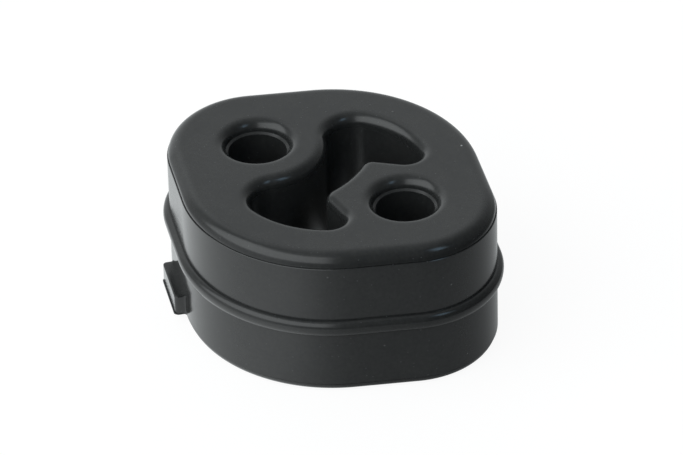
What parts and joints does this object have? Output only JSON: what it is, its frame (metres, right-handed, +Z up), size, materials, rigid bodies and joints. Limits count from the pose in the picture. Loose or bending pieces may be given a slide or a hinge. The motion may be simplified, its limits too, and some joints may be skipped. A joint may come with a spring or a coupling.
{
  "type": "exhaust hanger",
  "caption": "Moulded rubber block with two upright pin bores either side of a bone-shaped void, a bead round its waist and a small tab on one flank.",
  "frame": {"origin": "centre of the bottom face, midway between the two bores", "axes": "+X along the line through the two bores, towards the bore behind the hollow nose; +Z up, along the bores"},
  "size_m": [0.0666, 0.0558, 0.0292],
  "materials": {
    "rubber": "moulded, dull sheen"
  },
  "bodies": {
    "root": {"exhaust_hanger": "rubber"}
  },
  "joints": []
}
